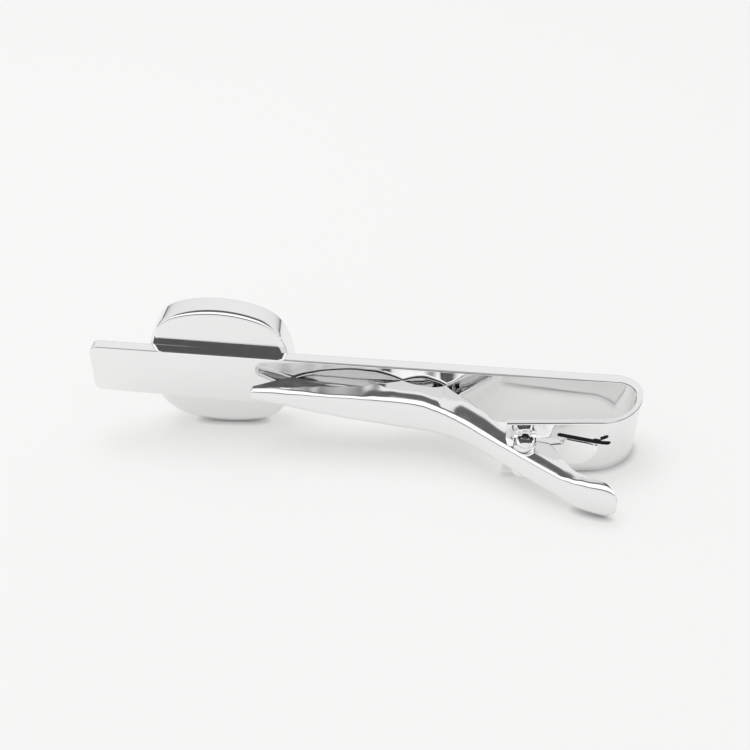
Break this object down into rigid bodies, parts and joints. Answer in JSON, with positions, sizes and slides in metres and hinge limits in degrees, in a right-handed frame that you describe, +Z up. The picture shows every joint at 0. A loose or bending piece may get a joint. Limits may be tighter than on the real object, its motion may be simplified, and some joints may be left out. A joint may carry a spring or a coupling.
{
  "type": "tie clip",
  "caption": "Polished tie clip: a flat bar bent into a U, a cushion-shaped tray medallion on its front and a sprung, scalloped lever hinged on its back leg.",
  "frame": {"origin": "middle of the bounding box, on the table that the clip stands on", "axes": "+X along the bar towards its bend, +Y towards the medallion's front, +Z up from the table"},
  "size_m": [0.0578, 0.019, 0.0157],
  "materials": {
    "polished_metal": "mirror polished, silver-coloured plating",
    "spring_steel": "bright rolled strip"
  },
  "bodies": {
    "clip": {"front_bar": "polished_metal", "medallion": "polished_metal", "hinge_pin": "polished_metal", "leaf_spring": "spring_steel"},
    "lever": {"clip_lever": "polished_metal"}
  },
  "joints": [
    {"name": "lever_hinge", "type": "hinge", "parent": "clip", "child": "lever", "pos_m": [0.01686, -0.00325, 0.00356], "axis": [0.0749, -0.1783, 0.9811], "range_deg": [0, 25], "stiffness_Nm_per_rad": 0.01, "springref_deg": -68.75, "deforming": ["leaf_spring"]}
  ]
}
